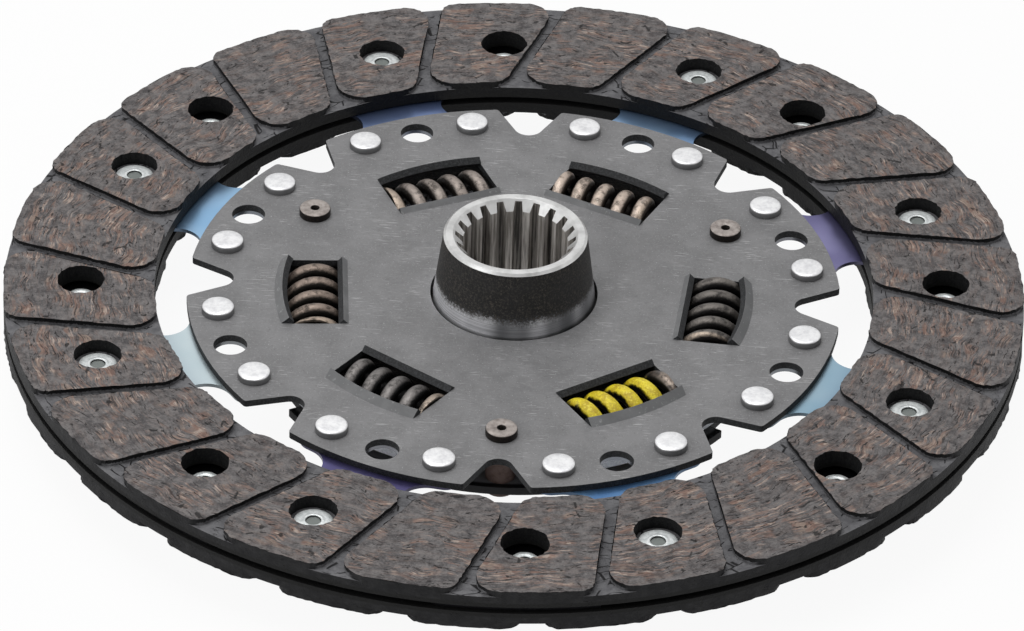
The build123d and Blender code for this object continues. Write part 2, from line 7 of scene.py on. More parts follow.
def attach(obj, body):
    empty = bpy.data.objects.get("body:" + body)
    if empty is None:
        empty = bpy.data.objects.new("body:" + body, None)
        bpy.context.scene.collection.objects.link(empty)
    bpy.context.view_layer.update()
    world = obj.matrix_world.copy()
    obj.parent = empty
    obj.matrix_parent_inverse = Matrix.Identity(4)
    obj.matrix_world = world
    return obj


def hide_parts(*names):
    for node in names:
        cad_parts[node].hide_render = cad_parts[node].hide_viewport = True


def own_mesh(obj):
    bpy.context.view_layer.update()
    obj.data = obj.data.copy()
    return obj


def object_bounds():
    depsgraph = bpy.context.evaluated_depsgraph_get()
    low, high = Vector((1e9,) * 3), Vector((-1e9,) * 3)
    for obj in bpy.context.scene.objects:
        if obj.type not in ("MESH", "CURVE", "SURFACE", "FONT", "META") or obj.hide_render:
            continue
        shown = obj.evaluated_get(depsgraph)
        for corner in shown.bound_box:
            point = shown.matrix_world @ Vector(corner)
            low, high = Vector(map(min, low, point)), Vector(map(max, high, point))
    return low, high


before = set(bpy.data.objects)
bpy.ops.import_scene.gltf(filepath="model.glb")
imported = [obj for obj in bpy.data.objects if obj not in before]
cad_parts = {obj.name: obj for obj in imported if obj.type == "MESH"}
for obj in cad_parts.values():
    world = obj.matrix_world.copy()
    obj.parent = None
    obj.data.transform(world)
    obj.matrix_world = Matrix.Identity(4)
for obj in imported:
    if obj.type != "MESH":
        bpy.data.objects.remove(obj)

CAD_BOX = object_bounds()
MM = 0.001

# ---------------------------------------------------------------- sizes, in millimetres
# Heights are above the mid-plane of the cushion segments.
FACING_OUTER_R = 95.0
FACING_INNER_R = 67.0
FACING_TOP = 4.15
GROOVE_FLOOR = 2.85
FACING_BACK = 0.65
CARRIER_TOP = 1.75
CARRIER_BOTTOM = 0.35
RETAINER_TOP = -7.55
RETAINER_BOTTOM = -9.25
HUB_FLANGE_R = 47.4
HUB_FLANGE_TOP = -1.3
HUB_BAND_TOP = 5.0
HUB_END = 13.45  # from the mid-plane to the nearer of the hub's end faces
SPLINE_ROOT_R = 11.2

FACING_RIVET_R = 80.6
RIVET_POCKET_R = 4.4
RIVET_LEDGE = FACING_BACK + 0.9
ROOT_RIVET_R = 55.5
STOP_PIN_R = 44.8

SPRING_R = 37.3
SPRING_Z = -3.6
SPRING_OUTER_R = 6.2
SPRING_L = 20.1
WIRE_R = 1.5
SPRING_PITCH = 4.28
SPRING_TURNS = 5

# Angles are in degrees, anticlockwise from +X.
LOBE_ANGLES = [22.5 + 45 * i for i in range(8)]
UPPER_RIVET_ANGLES = [a - 1.0 for a in LOBE_ANGLES]
LOWER_RIVET_ANGLES = [a - 18.2 for a in LOBE_ANGLES]
ROOT_RIVET_ANGLES = [a + side * 11.25 for a in LOBE_ANGLES for side in (-1, 1)]
ARM_ANGLES = (90, 210, 330)
PIN_ANGLES = (150, 270, 30)
SPRING_ANGLES = [a + side * 25.35 for a in ARM_ANGLES for side in (-1, 1)]


# ---------------------------------------------------------------- node trees
class Value:
    """One output in a node tree. Arithmetic on it adds Math nodes."""

    def __init__(self, nodes, socket):
        self.nodes = nodes
        self.socket = socket

    def __add__(self, other):
        return self.nodes.maths("ADD", self, other)

    def __sub__(self, other):
        return self.nodes.maths("SUBTRACT", self, other)

    def __rsub__(self, other):
        return self.nodes.maths("SUBTRACT", other, self)

    def __mul__(self, other):
        return self.nodes.maths("MULTIPLY", self, other)

    def __abs__(self):
        return self.nodes.maths("ABSOLUTE", self)

    __radd__ = __add__
    __rmul__ = __mul__

    def rise(self, low, high):
        """0 below low, 1 above high and smooth between them; low above high turns it round."""
        ends = {1: low, 2: high} if low < high else {1: high, 2: low, 3: 1.0, 4: 0.0}
        settings = {"interpolation_type": "SMOOTHSTEP"}
        return self.nodes.node("MapRange", settings, {0: self, **ends})

    def rise_mm(self, low, high):
        """The same for a length in metres, between two lengths in millimetres."""
        return self.rise(low * MM, high * MM)


class NodeTree:
    """A shader node tree that is added to in expressions."""

    def __init__(self, tree):
        self.tree = tree

    def node(self, kind, settings=None, inputs=None, out=0):
        made = self.tree.nodes.new("ShaderNode" + kind)
        for key, value in (settings or {}).items():
            setattr(made, key, value)
        for key, value in (inputs or {}).items():
            self.feed(made.inputs[key], value)
        return Value(self, made.outputs[out])

    def feed(self, socket, value):
        if isinstance(value, Value):
            self.tree.links.new(value.socket, socket)
        else:
            socket.default_value = value

    def maths(self, operation, *values):
        return self.node("Math", {"operation": operation}, dict(enumerate(values)))

    def distance(self, first, second):
        """The length of the diagonal of two distances at right angles."""
        return self.maths("SQRT", first * first + second * second)

    def part(self, vector, axis):
        return self.node("SeparateXYZ", None, {0: vector}, axis)

    def vector(self, x, y, z):
        return self.node("CombineXYZ", None, {0: x, 1: y, 2: z})

    def stretched(self, point, scale, turn=0.0):
        """A point scaled along X, Y and Z and then turned about Z, in degrees."""
        inputs = {"Vector": point, "Scale": scale, "Rotation": (0, 0, radians(turn))}
        return self.node("Mapping", None, inputs)

    def rays(self, *kinds):
        """1 where a ray of one of the kinds looks, and 0 where none does."""
        seen = [self.node("LightPath", out=f"Is {kind} Ray") for kind in kinds]
        return self.maths("MINIMUM", sum(seen[1:], seen[0]), 1.0)


class Finish(NodeTree):
    """A procedural material on object coordinates, which are in metres."""

    def __init__(self, name, constants=None):
        self.material = bpy.data.materials.new(name)
        self.material.use_nodes = True
        super().__init__(self.material.node_tree)
        self.shader = self.tree.nodes["Principled BSDF"]
        for socket, value in (constants or {}).items():
            self.shader.inputs[socket].default_value = value
        self.point = self.node("TexCoord", out="Object")
        self.normal = self.node("TexCoord", out="Normal")
        self.facing = self.part(self.normal, "Z")

    def round_about_axis(self, true_radius):
        """The distance from the disc's axis, and the arc length as it is at a radius."""
        x, y = self.part(self.point, "X"), self.part(self.point, "Y")
        return self.distance(x, y), self.maths("ARCTAN2", y, x) * (true_radius * MM)

    def noise(self, size, point=None, detail=4.0, roughness=0.55):
        """Noise whose features are about the given size in millimetres."""
        inputs = {
            "Vector": point or self.point,
            "Scale": 1 / (size * MM),
            "Detail": detail,
            "Roughness": roughness,
        }
        return self.node("TexNoise", None, inputs)

    def strands(self, size, point, slimness, turn=0.0, detail=3.0, roughness=0.75):
        """Noise drawn out along X, the less the nearer slimness is to 1.

        The turn, in degrees, gives another pattern of it, drawn out the same way.
        """
        drawn = self.stretched(point, (slimness, 1.0, 1.0), turn)
        return self.noise(size, drawn, detail, roughness)

    def cell_edges(self, size, point):
        """How far the nearest edge is between cells of the given size in millimetres."""
        inputs = {"Vector": point, "Scale": 1 / (size * MM)}
        return self.node("TexVoronoi", {"feature": "DISTANCE_TO_EDGE"}, inputs, "Distance")

    def mix(self, factor, first, second):
        """first where the factor is 0 and second where it is 1."""
        colours = [c if isinstance(c, Value) else (*c, 1) for c in (first, second)]
        inputs = {0: factor, 6: colours[0], 7: colours[1]}
        return self.node("Mix", {"data_type": "RGBA"}, inputs, 2)

    def bump(self, height, depth):
        """Sets the surface's relief: height 1 stands out by depth millimetres."""
        inputs = {"Height": height, "Distance": depth * MM, "Strength": 1.0}
        self.feed(self.shader.inputs["Normal"], self.node("Bump", None, inputs))

    def paint(self, colour, roughness=None, metallic=None):
        if not isinstance(colour, Value):
            colour = (*colour, 1)
        self.feed(self.shader.inputs["Base Color"], colour)
        if roughness is not None:
            self.feed(self.shader.inputs["Roughness"], roughness)
        if metallic is not None:
            self.feed(self.shader.inputs["Metallic"], metallic)
        return self.material


# ---------------------------------------------------------------- friction compound
LINING_R = 80.0  # where a facing's arc lengths are true
FIBRE_SIZE = 0.5
FIBRE_WANDER = 5.0  # how far the fibres' lines wander from round the disc
FIBRE_CURL = 1.1


def rivet_hole_distance(f, radius, arc):
    """The distance from the middle of the nearest rivet pocket or clearance hole."""
    half_pitch = pi * LINING_R / len(LOBE_ANGLES) * MM
    distances = []
    for first in (UPPER_RIVET_ANGLES[0], LOWER_RIVET_ANGLES[0]):
        along = arc - radians(first) * LINING_R * MM
        along = f.maths("WRAP", along, half_pitch, -half_pitch)
        distances.append(f.distance(radius - FACING_RIVET_R * MM, along))
    return f.maths("MINIMUM", *distances)


def worn_compound(f, bent, grain, mottle, fibre, worn):
    """A pad's rubbed face: grey binder, with fibres laid bare where it is worn."""
    hue = f.noise(1.6, detail=1.0)
    rust = f.mix(hue.rise(0.4, 0.6), (0.17, 0.105, 0.085), (0.26, 0.195, 0.16))
    copper = f.mix(hue.rise(0.42, 0.6), (0.25, 0.162, 0.128), (0.43, 0.345, 0.295))
    bundle = f.strands(1.7, bent, 0.2, 6, roughness=0.7)
    brown_fibre = f.strands(FIBRE_SIZE, bent, 0.14, 26)
    tan_fibre = f.strands(FIBRE_SIZE, bent, 0.14, -30)
    body = f.mix(mottle.rise(0.34, 0.66), (0.070, 0.066, 0.068), (0.175, 0.165, 0.164))
    body = f.mix(grain.rise(0.5, 0.75) * 0.5, body, (0.25, 0.23, 0.225))
    body = f.mix(grain.rise(0.46, 0.28) * 0.6, body, (0.045, 0.040, 0.040))
    body = f.mix(bundle.rise(0.5, 0.62) * fibre.rise(0.3, 0.5) * worn, body, rust)
    body = f.mix(brown_fibre.rise(0.54, 0.62) * worn * 0.75, body, (0.23, 0.15, 0.125))
    body = f.mix(tan_fibre.rise(0.56, 0.63) * worn * 0.7, body, (0.30, 0.22, 0.185))
    body = f.mix(fibre.rise(0.55, 0.63) * worn, body, copper)
    return f.mix(fibre.rise(0.45, 0.36) * (0.3 + worn * 0.6), body, (0.030, 0.024, 0.023))


def walls_with_painted_shade(f, radius, arc, level, grain, mottle, floor):
    """The walls of grooves, holes and rims: near black, painted as shade on the groove and hole
    walls, with a paler foot on a groove's walls.
    """
    # painted shade: the upper walls of grooves and holes are near black
    wall_shade = f.mix(grain.rise(0.35, 0.7), (0.003, 0.003, 0.004), (0.010, 0.010, 0.010))
    foot = level + (grain - 0.5) * (0.9 * MM)
    foot = foot.rise_mm(GROOVE_FLOOR + 0.65, GROOVE_FLOOR + 0.4)
    foot = foot * radius.rise_mm(FACING_INNER_R + 0.2, FACING_INNER_R + 0.4)
    foot = foot * radius.rise_mm(FACING_OUTER_R - 0.2, FACING_OUTER_R - 0.4)
    hole = rivet_hole_distance(f, radius, arc)
    foot = foot * hole.rise_mm(RIVET_POCKET_R + 0.2, RIVET_POCKET_R + 0.4)
    rim = f.mix(mottle.rise(0.3, 0.75), (0.006, 0.006, 0.007), (0.018, 0.018, 0.019))
    at_rim = radius.rise_mm(FACING_OUTER_R - 1.1, FACING_OUTER_R - 0.4)
    return f.mix(at_rim, f.mix(foot, wall_shade, floor), rim)


def friction_lining():
    """Moulded friction compound: brown grey pads with short copper-coloured fibres."""
    f = Finish("friction_lining", {"Specular IOR Level": 0.22})
    radius, arc = f.round_about_axis(LINING_R)
    level = abs(f.part(f.point, "Z"))
    flat = abs(f.facing).rise(0.6, 0.9)
    grain = f.noise(0.45, detail=2.0, roughness=0.7)
    mottle = f.noise(2.2, detail=3.0, roughness=0.65)
    patches = f.noise(6.0, detail=2.0, roughness=0.65)
    wander = f.noise(9.0, detail=1.0) * (FIBRE_WANDER * MM)
    curl = f.noise(3.4, detail=1.0) * (FIBRE_CURL * MM)
    laid = radius + wander + curl
    bent = f.vector(arc, laid, level * 0.3)
    ragged = f.vector(arc, laid + mottle * (1.6 * MM), level * 0.3)
    fibre = f.strands(FIBRE_SIZE, bent, 0.1)

    inside_edges = radius.rise_mm(FACING_INNER_R + 0.6, FACING_INNER_R + 3.0)
    inside_edges = inside_edges * radius.rise_mm(FACING_OUTER_R - 0.4, FACING_OUTER_R - 3.0)
    worn = 0.12 + patches.rise(0.45, 0.56) * inside_edges * 0.84
    face = worn_compound(f, bent, grain, mottle, fibre, worn)
    crack = f.strands(0.5, bent, 0.22, -9, roughness=0.7)
    pits = crack.rise(0.635, 0.665)
    split = f.cell_edges(3.6, f.stretched(ragged, (0.33, 1.0, 1.0), 8)).rise(0.035, 0.015)
    split = split * f.noise(1.9, detail=2.0).rise(0.55, 0.61)
    face = f.mix(f.maths("MAXIMUM", pits, split) * 0.9, face, (0.008, 0.007, 0.007))

    floor = f.mix(mottle.rise(0.3, 0.7), (0.10, 0.099, 0.106), (0.175, 0.174, 0.182))
    cracks = f.cell_edges(2.6, f.stretched(bent, (0.45, 1.0, 1.0))).rise(0.05, 0.02)
    cracks = cracks * f.noise(3.0, detail=1.0).rise(0.47, 0.54)
    cracked_floor = f.mix(cracks, floor, (0.006, 0.006, 0.007))
    on_pad = level.rise_mm(FACING_TOP - 0.85, FACING_TOP - 0.25) * flat
    walls = walls_with_painted_shade(f, radius, arc, level, grain, mottle, floor)
    colour = f.mix(flat, walls, f.mix(on_pad, cracked_floor, face))
    # painted shade: the back faces in the gap between the facings are near black
    back = level.rise_mm(FACING_BACK + 1.05, FACING_BACK + 0.65)
    colour = f.mix(back, colour, (0.005, 0.005, 0.005))
    f.bump(grain * 0.6 + fibre * 0.25 - pits * 1.6 + mottle * 0.5, 0.2)
    return f.paint(colour, 0.66 - fibre.rise(0.55, 0.65) * worn * 0.12)


# ---------------------------------------------------------------- steel finishes
SCRATCH_SIZE = 0.3
MARK_ENDS = (-9.1, 7.4)  # the yellow mark, along its spring from the middle
MARK_FADE = 0.4


def carrier_sheet(name, light=1.0, shade_beyond=None):
    """Phosphated sheet steel, finely scratched, with its sheared edges and steep walls painted
    near black as shade; a light above 1 makes it lighter as painted light; painted near black as
    shade beyond a radius.
    """

    # the tones scaled by light; above 1 this is painted light
    def tone(*colour):
        return [c * light for c in colour]

    f = Finish(name, {"Specular IOR Level": 0.3})
    radius = f.distance(f.part(f.point, "X"), f.part(f.point, "Y"))
    outward = f.part(f.normal, "X") * f.part(f.point, "X")
    outward = outward + f.part(f.normal, "Y") * f.part(f.point, "Y")
    # A lip's cut edge looks in at its spring, so just one of these two is negative there.
    sheared = (outward * (radius - SPRING_R * MM)).rise(-8 * MM * MM, -35 * MM * MM)
    flat = abs(f.facing).rise(0.8, 0.95)
    sloped = abs(f.facing).rise(0.3, 0.6) * (1 - sheared)
    mottle = f.noise(7.0, detail=4.0, roughness=0.6)
    fine = f.noise(0.4, detail=2.0, roughness=0.7)
    speckle = f.noise(0.9, detail=3.0, roughness=0.7)

    sheet = f.mix(mottle.rise(0.3, 0.7), tone(0.172, 0.171, 0.174), tone(0.222, 0.221, 0.225))
    sheet = f.mix(fine.rise(0.45, 0.8) * 0.5, sheet, tone(0.27, 0.27, 0.275))
    sheet = f.mix(speckle.rise(0.42, 0.3) * 0.5, sheet, tone(0.12, 0.12, 0.122))
    patch = f.noise(5.0, detail=1.0).rise(0.5, 0.62)
    other_patch = f.noise(6.5, detail=1.0).rise(0.52, 0.62)
    scratch = f.strands(SCRATCH_SIZE, f.point, 0.09, 38, 2.0, 0.55).rise(0.6, 0.7)
    other_scratch = f.strands(SCRATCH_SIZE, f.point, 0.1, -17, 2.0, 0.55).rise(0.6, 0.7)
    marks = scratch * (0.06 + patch * 0.7) + other_scratch * (0.05 + other_patch * 0.6)
    sheet = f.mix(marks, sheet, (0.42, 0.42, 0.42))
    smudge = f.noise(8.0, detail=4.0, roughness=0.7).rise(0.54, 0.7)
    sheet = f.mix(smudge * 0.3, sheet, tone(0.12, 0.12, 0.123))
    fleck = f.noise(0.3, detail=1.0).rise(0.68, 0.74)
    sheet = f.mix(fleck * 0.6, sheet, (0.45, 0.45, 0.45))

    # painted shade: steep walls and the lips' cut edges are near black
    edge = f.mix(fine.rise(0.4, 0.7), (0.013, 0.014, 0.015), (0.04, 0.041, 0.044))
    lip = f.mix(mottle.rise(0.4, 0.7), (0.15, 0.152, 0.155), (0.20, 0.202, 0.205))
    lip = f.mix(speckle.rise(0.6, 0.72) * 0.6, lip, (0.36, 0.36, 0.36))
    colour = f.mix(sloped, edge, f.mix(flat, lip, sheet))
    if shade_beyond is not None:
        # painted shade: near black beyond the radius, where the carrier plate shades the retainer
        rim = radius.rise_mm(shade_beyond, shade_beyond + 0.8)
        colour = f.mix(rim, colour, (0.012, 0.012, 0.013))
    f.bump(fine * 0.6 + mottle * 0.4 - marks, 0.03)
    return f.paint(colour, 0.72 - flat * (0.26 - mottle * 0.16), flat * 0.25)


def tempered_steel(name, main, tint, dark):
    """Spring steel: pale at the root, in its temper colours beyond, darker towards the facings in
    part from temper and in part as painted shade, painted near black as shade under the facings,
    and painted darker as shade on its steep sides.
    """
    f = Finish(name)
    radius, arc = f.round_about_axis(65)
    drift = f.noise(14.0, detail=2.0)
    fine = f.noise(0.4, f.stretched(f.vector(arc, radius, 0.0), (1.0, 0.12, 1.0)), detail=2.0)
    root = radius.rise_mm(FACING_INNER_R - 7.5, FACING_INNER_R - 9.5)
    # darker towards the facings: part temper colour, part painted shade
    neck_temper_and_shade = radius + drift * (6 * MM)
    neck_temper_and_shade = neck_temper_and_shade.rise_mm(FACING_INNER_R - 2, FACING_INNER_R + 6)
    # painted shade: near black under the facings
    facing_shade = radius.rise_mm(FACING_INNER_R + 4, FACING_INNER_R + 8)
    colour = f.mix(drift.rise(0.35, 0.65), main, tint)
    colour = f.mix(root * 0.8, colour, (0.60, 0.62, 0.65))
    colour = f.mix(neck_temper_and_shade * 0.8, colour, dark)
    colour = f.mix(facing_shade, colour, (0.006, 0.006, 0.007))
    # painted shade: steep sides are darker
    colour = f.mix(abs(f.facing).rise(0.5, 0.2) * 0.7, colour, (0.05, 0.05, 0.055))
    f.bump(fine, 0.01)
    return f.paint(colour, 0.26 + fine * 0.12, 0.85)


def root_rivet_steel():
    """Plated rivet steel with a mottled top, its sides painted darker as shade, and small dents.
    """
    f = Finish("root_rivet_steel")
    dark = (0.60, 0.60, 0.615)
    mottle = f.noise(1.3, detail=4.0, roughness=0.65)
    # painted shade: the head's sides are darker
    side = abs(f.facing).rise(0.75, 0.35)
    colour = f.mix(mottle.rise(0.3, 0.75), (0.80, 0.80, 0.805), dark)
    colour = f.mix(side * 0.8, colour, [c * 0.25 for c in dark])
    f.bump(mottle, 0.05)
    return f.paint(colour, 0.36 + mottle * 0.15, 0.85)


def tubular_rivet_steel():
    """Zinc-plated rivet: bright head, a grey floor in its bore painted as shade, and a dark
    shoulder painted as shade.
    """
    f = Finish("zinc")
    level = abs(f.part(f.point, "Z"))
    mottle = f.noise(0.9, detail=3.0, roughness=0.65)
    head = abs(f.facing).rise(0.35, 0.75)
    colour = f.mix(mottle.rise(0.35, 0.7), (0.86, 0.89, 0.89), (0.62, 0.66, 0.66))
    # painted shade: the floor of the bore is grey
    bore_floor_shade = level.rise_mm(RIVET_LEDGE + 0.25, RIVET_LEDGE + 0.15)
    bore_floor_shade = bore_floor_shade * level.rise_mm(FACING_BACK + 0.5, FACING_BACK + 0.6)
    colour = f.mix(bore_floor_shade, colour, (0.20, 0.22, 0.21))
    # painted shade: all but the head is near black
    colour = f.mix(1 - head, colour, (0.03, 0.034, 0.034))
    f.bump(mottle, 0.05)
    return f.paint(colour, 0.34 + mottle * 0.15, 0.35)


def hub_steel():
    """Black-oxide hub: bright turned end, steel band near the plate with a painted highlight
    towards -X, a flange edge of bare steel painted lighter as light, oily broached spline.
    """
    f = Finish("hub_steel")
    radius, arc = f.round_about_axis(14)
    level = f.part(f.point, "Z")
    flat = abs(f.facing)
    speck = f.noise(0.45, detail=3.0, roughness=0.8)
    cloud = f.noise(4.0, detail=3.0, roughness=0.6)
    lathe_marks = f.noise(0.2, f.vector(radius, level, arc * 0.01), detail=1.0)
    broached = f.stretched(f.point, (1.0, 1.0, 0.05))
    streak = f.noise(0.5, broached, detail=3.0, roughness=0.6)

    oxide = f.mix(speck.rise(0.45, 0.7), (0.006, 0.006, 0.006), (0.07, 0.06, 0.05))
    oxide = f.mix(cloud.rise(0.4, 0.7) * 0.55, oxide, (0.016, 0.016, 0.017))
    band = level + (speck - 0.5) * (4 * MM) + (cloud - 0.5) * (2.0 * MM)
    band = band.rise_mm(HUB_BAND_TOP + 0.9, HUB_BAND_TOP - 1.1)
    band = band * level.rise_mm(HUB_FLANGE_TOP + 0.2, HUB_FLANGE_TOP + 0.7)
    patch = f.noise(7.0, f.vector(arc, 0.0, 0.0), detail=1.0)
    # painted highlight: the band is lighter towards -X, where light falls on it
    patch = patch + f.part(f.point, "X").rise_mm(-1, -12) * 0.35
    steel = f.mix(patch.rise(0.38, 0.75), (0.22, 0.225, 0.235), (0.95, 0.95, 0.98))
    steel = f.mix(lathe_marks.rise(0.4, 0.7) * 0.4, steel, (0.16, 0.16, 0.17))
    colour = f.mix(band, oxide, steel)

    # the flange's sheared edge: bare steel, its colour raised as painted light where the edge lies
    # in shade
    at_edge = radius.rise_mm(HUB_FLANGE_R - 2.4, HUB_FLANGE_R - 0.9)
    sheared = f.mix(speck.rise(0.4, 0.7), (0.86, 0.88, 0.92), (0.66, 0.68, 0.72))
    colour = f.mix(at_edge * flat.rise(0.8, 0.5), colour, sheared)

    teeth = f.mix(streak.rise(0.35, 0.7), (0.24, 0.22, 0.20), (0.72, 0.69, 0.66))
    gaps = f.mix(streak.rise(0.4, 0.6), (0.07, 0.065, 0.06), (0.30, 0.28, 0.26))
    in_gap = radius.rise_mm(SPLINE_ROOT_R - 0.8, SPLINE_ROOT_R - 0.1)
    inside = radius.rise_mm(SPLINE_ROOT_R + 1.0, SPLINE_ROOT_R + 0.7)
    colour = f.mix(inside, colour, f.mix(in_gap, teeth, gaps))

    turned = f.mix(cloud.rise(0.35, 0.7), (0.66, 0.66, 0.655), (0.48, 0.48, 0.475))
    end = flat.rise(0.45, 0.65) * abs(level).rise_mm(HUB_END - 1.95, HUB_END - 0.95)
    colour = f.mix(end, colour, turned)
    metal = f.maths("MAXIMUM", inside * 0.35 + band * (1 - inside) * 0.85, end * 0.8)
    f.bump(speck * (1 - end) * (1 - band * 0.8) + lathe_marks * 0.2, 0.1)
    return f.paint(colour, 0.6 - metal * 0.3, metal)


def coil_place(f, angle):
    """Along a spring's own axis, and the distance from it, in metres."""
    local = f.stretched(f.point, (1, 1, 1), -angle)
    out = f.part(local, "X") - SPRING_R * MM
    up = f.part(local, "Z") - SPRING_Z * MM
    return f.part(local, "Y"), f.distance(out, up)


def spring_wire(name, angle, crest, root, bare_end):
    """Oiled spring wire, lighter along the outside of the coil, part rubbed and part painted
    light, painted dark as shade towards its axis, and bare at one end.
    """
    f = Finish(name)
    along, reach = coil_place(f, angle)
    mottle = f.noise(1.6, detail=3.0, roughness=0.7)
    fine = f.noise(0.4, detail=2.0)
    # painted light and shade: the outside of the coil is lighter, rubbed in part, and the inside
    # dark
    outside = reach + (mottle - 0.5) * (0.7 * MM)
    outside = outside.rise_mm(SPRING_OUTER_R - 0.7, SPRING_OUTER_R - 0.2)
    tip = (along * bare_end).rise_mm(SPRING_L / 2 - 2.45, SPRING_L / 2 - 1.85)
    rubbed = f.mix(tip * 0.75, [c * 1.25 for c in crest], (0.42, 0.34, 0.27))
    colour = f.mix(outside, root, rubbed)
    colour = f.mix(mottle.rise(0.46, 0.66) * 0.75, colour, root)
    # painted glints on the outside of the coil
    painted_glint = [min(c * 2.2, 0.8) for c in crest]
    colour = f.mix(fine.rise(0.58, 0.72) * outside * 0.5, colour, painted_glint)
    f.bump(fine * 0.8 + mottle, 0.1)
    return f.paint(colour, 0.38 + mottle * 0.22, 0.75)


def painted_wire(angle):
    """Spring wire with a thick yellow colour mark over its middle turns, its bare wire painted
    near black as shade towards the coil's axis.
    """
    f = Finish("painted_wire")
    along, reach = coil_place(f, angle)
    mottle = f.noise(1.5, detail=3.0, roughness=0.6)
    fine = f.noise(0.4, detail=2.0)
    outside = reach.rise_mm(SPRING_OUTER_R - 0.9, SPRING_OUTER_R - 0.2)
    bare = f.mix(mottle.rise(0.4, 0.65), (0.22, 0.18, 0.15), (0.05, 0.042, 0.038))
    # painted shade: the bare wire is near black towards the coil's axis
    bare = f.mix(outside, (0.02, 0.018, 0.016), bare)
    ragged = along + (mottle - 0.5) * (3.0 * MM)
    start, end = MARK_ENDS
    mark = ragged.rise_mm(start - MARK_FADE, start + MARK_FADE)
    mark = mark * ragged.rise_mm(end + MARK_FADE, end - MARK_FADE)
    coated = reach + (mottle - 0.5) * (1.5 * MM)
    mark = mark * coated.rise_mm(SPRING_OUTER_R - 1.2, SPRING_OUTER_R - 0.7)
    yellow = f.mix(mottle.rise(0.35, 0.7), (0.80, 0.66, 0.02), (0.50, 0.36, 0.01))
    yellow = f.mix(fine.rise(0.55, 0.7) * 0.6, yellow, (0.92, 0.82, 0.12))
    yellow = f.mix(fine.rise(0.45, 0.3) * 0.5, yellow, (0.38, 0.25, 0.01))
    f.bump(mottle + mark * 1.5 + fine * (0.2 + mark), 0.07)
    return f.paint(f.mix(mark, bare, yellow), 0.35 + mark * 0.15, 0.75 - mark * 0.75)


def pin_steel():
    """Brown oxidised pin: a worn top, its sides below it painted near black as shade, and rusty
    round its barrel.
    """
    f = Finish("pin_steel", {"Specular IOR Level": 0.2})
    mottle = f.noise(1.0, detail=3.0, roughness=0.65)
    fine = f.noise(0.3, detail=2.0)
    upwards = f.facing.rise(0.5, 0.8)
    top = f.mix(mottle.rise(0.35, 0.7), (0.40, 0.36, 0.335), (0.24, 0.21, 0.195))
    # painted shade: the sides above the plate are near black
    side = f.mix(fine.rise(0.35, 0.7), (0.005, 0.004, 0.004), (0.022, 0.016, 0.013))
    barrel = f.mix(mottle.rise(0.35, 0.7), (0.16, 0.11, 0.095), (0.10, 0.065, 0.055))
    below_plate = f.part(f.point, "Z").rise_mm(0.3, -0.3)
    f.bump(mottle + fine * 0.5, 0.06)
    return f.paint(f.mix(upwards, f.mix(below_plate, side, barrel), top), 0.5, upwards * 0.4)


def plain_finish(name, light, dark, roughness, metallic=0.0):
    """A hidden piece's finish: two tones and a fine grain."""
    f = Finish(name)
    mottle = f.noise(2.5, detail=4.0)
    f.bump(mottle, 0.03)
    return f.paint(f.mix(mottle.rise(0.35, 0.65), light, dark), roughness + mottle * 0.1, metallic)


# ---------------------------------------------------------------- modelling
WELD = 0.002  # corners nearer than this are one
EDGE_BREAK = 0.12  # bevel on sheet and turned edges
RIVET_BREAK = 0.04
PIN_BREAK = 0.05


def deselect():
    bpy.ops.object.select_all(action="DESELECT")


def selected(piece):
    deselect()
    piece.select_set(True)
    bpy.context.view_layer.objects.active = piece


def editing(piece):
    selected(piece)
    bpy.ops.object.mode_set(mode="EDIT")


def finished():
    bpy.ops.object.mode_set(mode="OBJECT")


def lathed(name, profile, sides=48):
    """A round solid about Z, extruded from a filled circle along a (radius, height) profile."""
    deselect()
    radius, height = profile[0]
    bpy.ops.mesh.primitive_circle_add(
        vertices=sides, radius=radius * MM, fill_type="NGON", location=(0, 0, height * MM)
    )
    piece = bpy.context.object
    piece.name = name
    bpy.ops.object.transform_apply(location=True)
    bpy.ops.object.mode_set(mode="EDIT")
    bpy.ops.mesh.select_all(action="SELECT")
    for next_radius, next_height in profile[1:]:
        bpy.ops.mesh.extrude_region_move(
            TRANSFORM_OT_translate={"value": (0, 0, (next_height - height) * MM)}
        )
        factor = next_radius / radius
        bpy.ops.transform.resize(
            value=(factor, factor, 1), center_override=(0, 0, next_height * MM)
        )
        radius, height = next_radius, next_height
    bpy.ops.mesh.select_all(action="SELECT")
    bpy.ops.mesh.normals_make_consistent(inside=False)
    finished()
    return piece


def softened(piece, width, segments=2, angle=35):
    """Bevels the piece's sharp edges and smooths what lies between them."""
    bevel = piece.modifiers.new("edges", "BEVEL")
    bevel.width = width * MM
    bevel.segments = segments
    bevel.limit_method = "ANGLE"
    bevel.angle_limit = radians(angle)
    selected(piece)
    bpy.ops.object.modifier_apply(modifier=bevel.name)
    bpy.ops.object.shade_smooth_by_angle(angle=radians(angle))
    flats = piece.modifiers.new("flats", "WEIGHTED_NORMAL")
    flats.weight = 90
    flats.keep_sharp = True
    bpy.ops.object.modifier_apply(modifier=flats.name)
    return piece


def placed(piece, radius, angle, flipped=False, height=0.0):
    """Moves a mesh out to a radius and round to an angle; its object stays at the origin."""
    move = Matrix.Translation((radius * MM, 0, height * MM))
    move = Matrix.Rotation(radians(angle), 4, "Z") @ move
    if flipped:
        move = move @ Matrix.Rotation(pi, 4, "X")
    piece.data.transform(move)
    piece.data.update()
    return piece


def copied(piece, name):
    twin = piece.copy()
    twin.data = piece.data.copy()
    twin.name = name
    bpy.context.collection.objects.link(twin)
    return twin


def joined(pieces, name):
    selected(pieces[0])
    for piece in pieces:
        piece.select_set(True)
    bpy.ops.object.join()
    pieces[0].name = name
    pieces[0].data.name = name
    return pieces[0]


